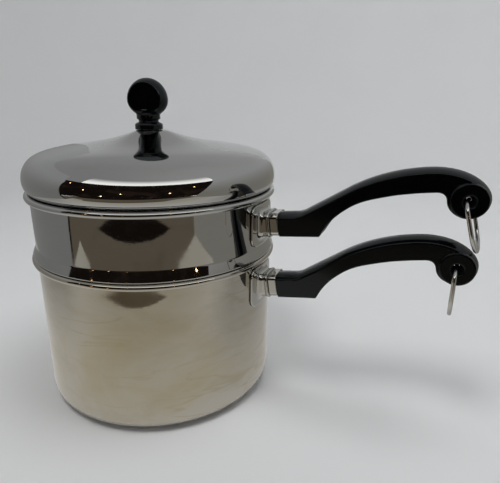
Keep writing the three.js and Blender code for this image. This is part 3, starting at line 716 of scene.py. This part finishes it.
def knob_stem_outline():
    neck = COLLAR_HEIGHT + NECK_HEIGHT
    ring = neck + STEM_RING_HEIGHT
    right = [
        (COLLAR_RADIUS, 0), (COLLAR_RADIUS, COLLAR_HEIGHT - STEM_ROUND),
        (COLLAR_RADIUS - STEM_ROUND, COLLAR_HEIGHT), (NECK_RADIUS, COLLAR_HEIGHT + STEM_ROUND),
        (NECK_RADIUS, neck - STEM_ROUND), (STEM_RING_RADIUS, neck), (STEM_RING_RADIUS, ring),
        (NECK_RADIUS, ring + STEM_ROUND), (NECK_RADIUS, ring + HEAD_EDGE_WIDTH),
    ]
    return np.array(right + [(-r, z) for r, z in right[::-1]], float)


KNOB_HEAD = knob_head_outline()
KNOB_STEM = knob_stem_outline()


def knob_field(x, y, z):
    along = x * math.cos(KNOB_TURN) + y * math.sin(KNOB_TURN)
    across = y * math.cos(KNOB_TURN) - x * math.sin(KNOB_TURN)
    rim = outline_field(along, z, KNOB_HEAD) + crown(across, HEAD_THICKNESS / 2, HEAD_EDGE_WIDTH)
    head = round_max(rim, np.abs(across) - HEAD_THICKNESS / 2, HEAD_EDGE)
    stem = outline_field(np.hypot(x, y), z, KNOB_STEM) - STEM_EDGE
    stem = np.maximum(stem + STEM_EDGE * (z < STEM_FOOT), -z)
    pocket = np.maximum(np.hypot(x, y) - INSERT_RADIUS - FIT, z - INSERT_LENGTH - 2 * FIT)
    return np.maximum(round_min(head, stem, HEAD_FILLET), -pocket)


# Materials

class Tree:
    """A material's nodes. Inputs are values, or sockets to link."""

    def __init__(self, name):
        self.material = bpy.data.materials.new(name)
        self.material.use_nodes = True
        self.tree = self.material.node_tree
        self.shader = self.tree.nodes["Principled BSDF"]

    def add(self, kind, inputs=(), **settings):
        node = self.tree.nodes.new(kind)
        for key, value in settings.items():
            setattr(node, key, value)
        for key, value in dict(inputs).items():
            self.put(node, key, value)
        return node

    def put(self, node, key, value):
        if isinstance(value, bpy.types.NodeSocket):
            self.tree.links.new(value, node.inputs[key])
        else:
            node.inputs[key].default_value = value

    def math(self, operation, *values):
        return self.add("ShaderNodeMath", enumerate(values), operation=operation).outputs[0]

    def ramp(self, value, low, high, out_low, out_high):
        inputs = {"Value": value, "From Min": low, "From Max": high, "To Min": out_low, "To Max": out_high}
        return self.add("ShaderNodeMapRange", inputs, interpolation_type="SMOOTHSTEP").outputs["Result"]

    def noise(self, vector, scale, detail=4.0, roughness=0.55, distortion=0.0):
        inputs = {
            "Vector": vector, "Scale": scale, "Detail": detail,
            "Roughness": roughness, "Distortion": distortion,
        }
        return self.add("ShaderNodeTexNoise", inputs).outputs["Fac"]

    def mix(self, share, a, b):
        node = self.add("ShaderNodeMix", data_type="RGBA")
        for key, value in ((0, share), (6, a), (7, b)):
            self.put(node, key, value)
        return node.outputs[2]

    def stretched(self, vector, scale):
        node = self.add("ShaderNodeMapping", {"Vector": vector})
        node.inputs["Scale"].default_value = scale
        return node.outputs[0]

    def bump(self, height, distance, normal=None):
        inputs = {"Height": height, "Distance": distance, "Strength": 1.0}
        if normal is not None:
            inputs["Normal"] = normal
        return self.add("ShaderNodeBump", inputs).outputs[0]

    def place(self):
        return self.add("ShaderNodeTexCoord").outputs["Object"]

    def along(self, place, way):
        """How far a place lies in a direction."""
        node = self.add("ShaderNodeVectorMath", {0: place, 1: way}, operation="DOT_PRODUCT")
        return node.outputs["Value"]

    def set(self, **values):
        for key, value in values.items():
            self.put(self.shader, key.replace("_", " "), value)

    def shine(self, colour, strength=1.0):
        """The material as a plain light."""
        lamp = self.add("ShaderNodeEmission", {"Color": colour, "Strength": strength})
        output = next(n for n in self.tree.nodes if n.type == "OUTPUT_MATERIAL")
        self.tree.links.new(lamp.outputs[0], output.inputs["Surface"])
        return self.material


def turned_coordinates(tree):
    """Place, and (turn, height, radius) round the pans' axis."""
    place = tree.place()
    parts = tree.add("ShaderNodeSeparateXYZ", {"Vector": place})
    x, y, z = (parts.outputs[i] for i in range(3))
    turn = tree.math("ARCTAN2", y, x)
    radius = tree.math("SQRT", tree.math("ADD", tree.math("MULTIPLY", x, x), tree.math("MULTIPLY", y, y)))
    around = tree.add("ShaderNodeCombineXYZ", {"X": turn, "Y": z, "Z": radius}).outputs[0]
    return place, around, z


def steel(name, tint, stain, smooth, smudged, staining=0.0):
    """Polished sheet: fine lines round the axis, smudges, scratches and a straw tint."""
    tree = Tree(name)
    place, around, height = turned_coordinates(tree)
    lines = tree.noise(tree.stretched(around, (0.8, 900.0, 900.0)), 1.0, 3.0, 0.7)
    smudge = tree.noise(place, 38.0, 5.0, 0.6, 0.6)
    wipe = tree.noise(tree.stretched(around, (2.2, 60.0, 60.0)), 1.0, 5.0, 0.65, 0.4)
    scratch = tree.noise(tree.stretched(around, (28.0, 320.0, 320.0)), 1.0, 2.0, 0.5, 1.2)
    marks = tree.ramp(scratch, 0.66, 0.72, 0.0, 0.05)
    blur = tree.ramp(tree.math("MULTIPLY", smudge, wipe), 0.16, 0.42, smooth, smudged)
    colour = tree.mix(tree.ramp(wipe, 0.4, 0.75, 0.0, 0.35 + staining), tint, stain)
    height_map = smudge
    if staining:
        wave = tree.noise(tree.stretched(around, (16.0, 9.0, 0.0)), 1.0, 2.0, 0.5)
        height_map = tree.math("ADD", smudge, tree.math("MULTIPLY", wave, 1.2))
        tide = tree.noise(tree.stretched(around, (0.7, 52.0, 0.0)), 1.0, 3.0, 0.5, 0.35)
        edge = tree.ramp(tree.math("ABSOLUTE", tree.math("SUBTRACT", tide, 0.5)), 0.0, 0.022, 1.0, 0.0)
        patch = tree.ramp(tree.noise(place, 21.0, 2.0, 0.5), 0.48, 0.62, 0.0, 0.36)
        colour = tree.mix(tree.math("MULTIPLY", edge, patch), colour, TIDE_MARK)
        # A straw tint darkens the wall in a band on its lower half, most on the side towards the camera.
        straw = tree.noise(place, 16.0, 4.0, 0.6, 1.0)
        zone = tree.math(
            "MULTIPLY", tree.ramp(height, 0.0, 0.035, 0.35, 1.0), tree.ramp(height, 0.06, 0.098, 1.0, 0.3)
        )
        zone = tree.math("MULTIPLY", zone, tree.ramp(tree.along(place, STRAW_SIDE), 0.02, 0.078, 0.3, 1.0))
        share = tree.math("MULTIPLY", tree.ramp(straw, 0.40, 0.64, 0.5 * staining, staining), zone)
        colour = tree.mix(share, colour, STRAW)
    tree.set(
        Base_Color=colour, Metallic=1.0, Roughness=tree.math("ADD", blur, marks),
        Normal=tree.bump(lines, 0.0000014, tree.bump(height_map, 0.00002)),
    )
    return tree.material


def phenolic():
    """Moulded black plastic with a soft gloss, faint orange peel and dulled, dusty places."""
    tree = Tree("black_phenolic")
    place = tree.place()
    cloud = tree.noise(place, 60.0, 5.0, 0.6)
    peel = tree.noise(place, 1100.0, 2.0, 0.5)
    fine = tree.noise(place, 3800.0, 2.0, 0.5)
    specks = tree.ramp(tree.noise(place, 1700.0, 1.0, 0.4), 0.71, 0.78, 0.0, 0.5)
    facing = tree.add("ShaderNodeNewGeometry").outputs["Normal"]
    up = tree.add("ShaderNodeSeparateXYZ", {"Vector": facing})
    dust = tree.math("MULTIPLY", specks, tree.ramp(up.outputs["Z"], 0.2, 1.0, 0.0, 0.25))
    colour = tree.mix(cloud, BLACK_DEEP, BLACK_PALE)
    colour = tree.mix(dust, colour, DUST)
    dull = tree.add("ShaderNodeAttribute", attribute_name="dull").outputs["Fac"]
    gloss = tree.ramp(cloud, 0.3, 0.7, 0.07, 0.14)
    tree.set(
        Base_Color=colour, Specular_Tint=BLACK_SHINE, Specular_IOR_Level=0.42,
        Roughness=tree.math("ADD", gloss, tree.math("MULTIPLY", dull, 0.7)),
        Normal=tree.bump(fine, 0.0000025, tree.bump(peel, 0.000012)),
    )
    return tree.material


def plain_metal(name, tint, shade, smooth, dull, grain):
    """A metal with a drawn or turned grain, tarnish and dull places."""
    tree = Tree(name)
    place, around, _ = turned_coordinates(tree)
    rings = tree.noise(tree.stretched(around, (0.3, grain, grain)), 1.0, 3.0, 0.7)
    cloud = tree.noise(place, 70.0, 5.0, 0.6, 0.4)
    colour = tree.mix(tree.ramp(cloud, 0.35, 0.7, 0.0, 1.0), tint, shade)
    tree.set(
        Base_Color=colour, Metallic=1.0, Roughness=tree.ramp(cloud, 0.3, 0.7, smooth, dull),
        Normal=tree.bump(rings, 0.000006),
    )
    return tree.material


def paper(name, pale, shade):
    tree = Tree(name)
    place = tree.place()
    cloud = tree.noise(place, 5.0, 3.0, 0.5)
    tree.set(Base_Color=tree.mix(cloud, shade, pale), Roughness=0.85, Specular_IOR_Level=0.1)
    return tree.material


def glow(name, colour, strength, patches=None):
    """A lit or dark card. Patches is a second colour, in soft blotches."""
    tree = Tree(name)
    if patches:
        blotch = tree.ramp(tree.noise(tree.place(), 3.2, 3.0, 0.6, 0.8), 0.48, 0.68, 0.0, 1.0)
        colour = tree.mix(blotch, colour, patches)
    return tree.shine(colour, strength)


def fading(name, way, ends, colour_near, colour_far, sides=None):
    """A lit card whose light changes along a direction, between two distances from the pans' axis.

    Sides is how much of its light is left to the far left and right.
    """
    tree = Tree(name)
    place, (near, far) = tree.place(), ends
    along = tree.along(place, way)
    colour = tree.mix(tree.ramp(along, near, far, 0.0, 1.0), colour_near, colour_far)
    if not sides:
        return tree.shine(colour)
    aside = tree.math("ABSOLUTE", tree.math("ADD", tree.along(place, TENT_RIGHT), PAPER_MIDDLE))
    aside = tree.ramp(aside, *PAPER_ASIDE, 0.0, 1.0 - sides)
    aside = tree.math("MULTIPLY", aside, tree.ramp(along, near, far * PAPER_ASIDE_END, 1.0, 0.0))
    return tree.shine(colour, tree.math("SUBTRACT", 1.0, aside))


def sky(left, right, horizon):
    """The dome's light: from left to right, and paler low down."""
    tree = Tree("tent_roof")
    place = tree.place()
    height = tree.add("ShaderNodeSeparateXYZ", {"Vector": place}).outputs["Z"]
    colour = tree.mix(tree.ramp(tree.along(place, TENT_RIGHT), *DOME_WIDTH, 0.0, 1.0), left, right)
    return tree.shine(tree.mix(tree.ramp(height, *DOME_HORIZON, 1.0, 0.0), colour, horizon))


MIRROR = steel("polished_steel", STEEL_BRIGHT, STEEL_STAIN, 0.03, 0.09)
SATIN = steel("used_steel", USED_BRIGHT, USED_STAIN, 0.03, 0.10, 0.62)
STAMPED = steel("stamped_steel", STAMPED_BRIGHT, STAMPED_STAIN, 0.05, 0.14)
ALUMINIUM = plain_metal("satin_aluminium", ALUMINIUM_PALE, ALUMINIUM_DULL, 0.32, 0.5, 1500.0)
BRASS = plain_metal("brass_bush", BRASS_PALE, BRASS_DULL, 0.22, 0.4, 2200.0)
WIRE = plain_metal("bright_wire", WIRE_PALE, WIRE_DULL, 0.10, 0.24, 900.0)
BLACK = phenolic()


# Pieces

points, faces = lathe(saucepan_profile())
piece("saucepan_shell", points, faces, "saucepan", ["lower_pan_shell"], SATIN)
points, faces = lathe(cladding_profile())
piece("base_plate", points, faces, "saucepan", ["lower_base_cladding"], ALUMINIUM)
points, faces = lathe(insert_profile())
piece("insert_shell", points, faces, "insert_pan", ["upper_pan_shell"], MIRROR)
points, faces = lathe(lid_profile())
piece("lid_shell", points, faces, "lid", ["lid_dome"], MIRROR, SHARP_PRESSED)

handle_points, handle_faces = surface(handle_field, *HANDLE_GRID)
from_hole = np.hypot(handle_points[:, 0] - LOBE_AT, handle_points[:, 2] - LOBE_RISE)
in_hole = 1 - ease(from_hole, HOLE_MOUTH - DULL_EDGE[0], HOLE_MOUTH + DULL_EDGE[1])
ferrule_points, ferrule_faces = surface(ferrule_field, *FERRULE_GRID)
screw_low = BRACKET_LENGTH - FLANGE_SHEET - FIT - NUT_DEPTH
screw_seat = SCREW_SEAT + WASHER + 2 * FIT
screw_points, screw_faces = surface(screw_field(screw_low, screw_seat), *SCREW_GRID)
screw_points = screw_points - (0, 0, SCREW_DROP)
ring_points, ring_faces = sweep(ring_line(), WIRE_SIDES, WIRE_RADIUS, np.array([1.0, 0, 0]))
for name, body in (("lower", "saucepan"), ("upper", "insert_pan")):
    grip = piece(name + "_grip", placed(handle_points, name), handle_faces, body,
                 [name + "_handle"], BLACK, SHARP_MOULDED)
    dull = grip.data.attributes.new("dull", "FLOAT", "POINT")
    dull.data.foreach_set("value", in_hole.astype(np.float32))
    piece(name + "_collar", placed(ferrule_points, name), ferrule_faces, body,
          [name + "_ferrule"], STAMPED, SHARP_PRESSED)
    piece(name + "_grip_screw", placed(screw_points, name), screw_faces, body,
          [name + "_handle_screw"], WIRE, SHARP_PRESSED)
    points, faces = surface(bracket_field(TILTS[name]), *BRACKET_GRID)
    piece(name + "_bracket_stamping", points + (0, 0, RIMS[name] - HANDLE_DROP), faces, body,
          [name + "_bracket"], STAMPED, SHARP_PRESSED)
    turn, at = ring_place(name)
    piece(name + "_ring_wire", ring_points @ turn.T + at, ring_faces, name + "_ring",
          [name + "_hanging_ring"], WIRE)

knob_at = np.array([KNOB_SHIFT * math.cos(KNOB_HEADING), KNOB_SHIFT * math.sin(KNOB_HEADING), 0])
points, faces = surface(knob_field, *KNOB_GRID)
points = points + knob_at + (0, 0, LID_SEAT + FIT)
piece("knob", points, faces, "lid", ["lid_knob"], BLACK, SHARP_MOULDED)
knob_seat = LID_SEAT - LID_SHEET - FIT - WASHER - FIT
knob_tip = LID_SEAT + 2 * FIT + INSERT_LENGTH - FIT
past_tip, past_seat = KNOB_SCREW_MARGINS
points, faces = surface(
    screw_field(-knob_tip, -knob_seat), SCREW_GRID[0],
    (-knob_tip - past_tip, *SCREW_GRID[1][1:]), (-knob_seat + past_seat, *SCREW_GRID[2][1:]),
)
upright = points[:, [2, 1, 0]] * (1, 1, -1)
piece("knob_fixing_screw", upright + knob_at, faces, "lid",
      ["knob_screw"], WIRE, SHARP_PRESSED)

hidden = {"knob_insert": BRASS, "knob_washer": WIRE}
for name in ("lower", "upper"):
    hidden.update({name + "_bracket_nut": WIRE, name + "_screw_washer": WIRE})
for node, material in hidden.items():
    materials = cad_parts[node].data.materials
    materials.clear()
    materials.append(material)


# Stage: a seamless pale floor and wall all round

def stage_mesh(name, points, faces, material, seen=True):
    """A stage object. One that isn't seen only shows in reflections, as a studio's cards do."""
    mesh = bpy.data.meshes.new(name)
    mesh.from_pydata([tuple(p) for p in points], [], faces)
    mesh.shade_smooth()
    mesh.materials.append(material)
    obj = bpy.data.objects.new(name, mesh)
    bpy.context.scene.collection.objects.link(obj)
    if not seen:
        obj.visible_camera = obj.visible_diffuse = obj.visible_shadow = False
        obj.visible_transmission = obj.visible_volume_scatter = False


def belts(rows, sides):
    """Faces between rings of points, one ring after another."""
    faces = []
    for here in range(0, (rows - 1) * sides, sides):
        there = here + sides
        for k in range(sides):
            nxt = (k + 1) % sides
            faces.append((here + k, here + nxt, there + nxt, there + k))
    return faces


def floor_and_wall():
    """Floor, cove and wall as one turned surface."""
    cove = arc(FLOOR_RADII[-1], COVE_RADIUS, COVE_RADIUS, -math.pi / 2, 0, 16)
    profile = joined([(radius, 0) for radius in FLOOR_RADII], cove, [STAGE_WALL])
    turns = np.linspace(0, 2 * math.pi, STAGE_SIDES, endpoint=False)
    points = [(r * math.cos(a), r * math.sin(a), z) for r, z in profile for a in turns]
    return points, belts(len(profile), STAGE_SIDES) + [list(range(STAGE_SIDES))]


def dome():
    """A dome over the stage, only for reflections."""
    turns = np.linspace(0, 2 * math.pi, DOME_SIDES, endpoint=False)
    points = []
    for i in range(DOME_ROWS + 1):
        lift = DOME_FOOT + (math.pi / 2 - DOME_FOOT) * i / (DOME_ROWS + 0.5)
        out, up = DOME_RADIUS * math.cos(lift), DOME_RADIUS * math.sin(lift)
        points += [(out * math.cos(a), out * math.sin(a), up) for a in turns]
    last = DOME_ROWS * DOME_SIDES
    return points, belts(DOME_ROWS + 1, DOME_SIDES) + [list(range(last, last + DOME_SIDES))]


def on_floor(places, height):
    """Points over places in millimetres: out of the tent towards the camera, and to the right."""
    rise = Vector((0, 0, height))
    return [tuple(TENT_OUT * (out * MM) + TENT_RIGHT * (right * MM) + rise) for out, right in places]


def ring_card():
    """The paper round the pans, from a little way off their wall."""
    turns = np.linspace(0, 2 * math.pi, PAPER_SIDES, endpoint=False)
    places = [(r * math.cos(a), r * math.sin(a)) for r in PAPER_RADII for a in turns]
    return on_floor(places, PAPER_HEIGHT), belts(2, PAPER_SIDES)


def card(name, places, height, material):
    stage_mesh(name, on_floor(places, height), [list(range(len(places)))], material, False)


def wall_card(name, places, heights, material):
    """An upright card along the tent's side, with a height at each place."""
    count = len(places)
    faces = [(i, i + 1, count + i + 1, count + i) for i in range(count - 1)]
    top = [on_floor([place], height)[0] for place, height in zip(places, heights)]
    stage_mesh(name, on_floor(places, 0.0) + top, faces, material, False)


def turned_way(angle):
    """A level direction, from its angle to the right of the camera's."""
    return FRONT * math.cos(angle) + SIDE * math.sin(angle)


def screen(radius, start, end, low, high, steps=24):
    """A curved upright card round the pans' axis, with its ends in degrees."""
    points = []
    for angle in np.linspace(math.radians(start), math.radians(end), steps + 1):
        points += [tuple(turned_way(angle) * radius + Vector((0, 0, z))) for z in (low, high)]
    return points, [(2 * i, 2 * i + 2, 2 * i + 3, 2 * i + 1) for i in range(steps)]


DARK = glow("dark_room", ROOM_DARK, 1.0, ROOM_PATCH)
TABLE = glow("table_top", TABLE_LIT, 1.0, TABLE_PATCH)
PAPER = fading("lit_floor", TENT_OUT, PAPER_FADE, PAPER_NEAR, PAPER_FAR, PAPER_SIDE_LIGHT)
LEFT_WALL = fading("tent_left", UPWARDS, WALL_FADE, LEFT_LOW, LEFT_HIGH)
RIGHT_WALL = fading("tent_right", UPWARDS, WALL_FADE, RIGHT_LOW, RIGHT_HIGH)
STRIP = fading("lit_strip", UPWARDS, STRIP_FADE, STRIP_LOW, STRIP_HIGH)
SKY = sky(SKY_LEFT, SKY_RIGHT, SKY_HORIZON)
LAMP = glow("warm_lamp", LAMP_WARM, LAMP_STRENGTH)

stage_mesh("floor", *floor_and_wall(), paper("pale_paper", FLOOR_PALE, FLOOR_SHADE))
stage_mesh("paper_card", *ring_card(), PAPER, False)
card("table_card", TABLE_PLACES, TABLE_HEIGHT, TABLE)
card("dark_floor", DARK_PLACES, DARK_HEIGHT, DARK)
stage_mesh("room_screen", *screen(*ROOM_SCREEN), DARK, False)
wall_card("left_wall", LEFT_PLACES, LEFT_HEIGHTS, LEFT_WALL)
wall_card("left_edge", EDGE_PLACES, EDGE_HEIGHTS, DARK)
wall_card("right_wall", RIGHT_PLACES, RIGHT_HEIGHTS, RIGHT_WALL)
stage_mesh("tent_roof", *dome(), SKY, False)
stage_mesh("lit_strip", *screen(*STRIP_SCREEN), STRIP, False)
for i, (angle, height) in enumerate(LAMPS):
    at = turned_way(math.radians(angle)) * LAMP_DISTANCE + Vector((0, 0, height))
    bpy.ops.mesh.primitive_uv_sphere_add(radius=LAMP_RADIUS, location=at)
    lamp = bpy.context.object
    lamp.name = f"lamp_{i}"
    lamp.data.materials.append(LAMP)
    lamp.visible_camera = lamp.visible_diffuse = lamp.visible_shadow = False

world = bpy.data.worlds.new("studio")
world.use_nodes = True
background = world.node_tree.nodes["Background"].inputs
background["Color"].default_value = WORLD_COLOUR
background["Strength"].default_value = WORLD_STRENGTH
bpy.context.scene.world = world


def area_light(name, at, target, size, power, colour):
    data = bpy.data.lights.new(name, "AREA")
    data.shape, data.size, data.energy, data.color = "DISK", size, power, colour
    obj = bpy.data.objects.new(name, data)
    obj.location = at
    obj.rotation_euler = (Vector(target) - Vector(at)).to_track_quat("-Z", "Y").to_euler()
    obj.visible_glossy = False
    bpy.context.scene.collection.objects.link(obj)


area_light("key", *KEY)
area_light("fill", *FILL)


# Camera

camera_data = bpy.data.cameras.new("camera")
camera_data.sensor_fit = "HORIZONTAL"
camera_data.sensor_width = CAMERA_SENSOR
camera_data.lens = CAMERA_LENS
camera_data.clip_start = CAMERA_CLIP
camera = bpy.data.objects.new("camera", camera_data)
right = CAMERA_RIGHT.normalized()
back = right.cross(CAMERA_UP).normalized()
up = back.cross(right)
camera.matrix_world = Matrix((
    (right.x, up.x, back.x, CAMERA_AT.x),
    (right.y, up.y, back.y, CAMERA_AT.y),
    (right.z, up.z, back.z, CAMERA_AT.z),
    (0, 0, 0, 1),
))
bpy.context.scene.collection.objects.link(camera)
bpy.context.scene.camera = camera
bpy.context.scene.view_settings.view_transform = "Standard"
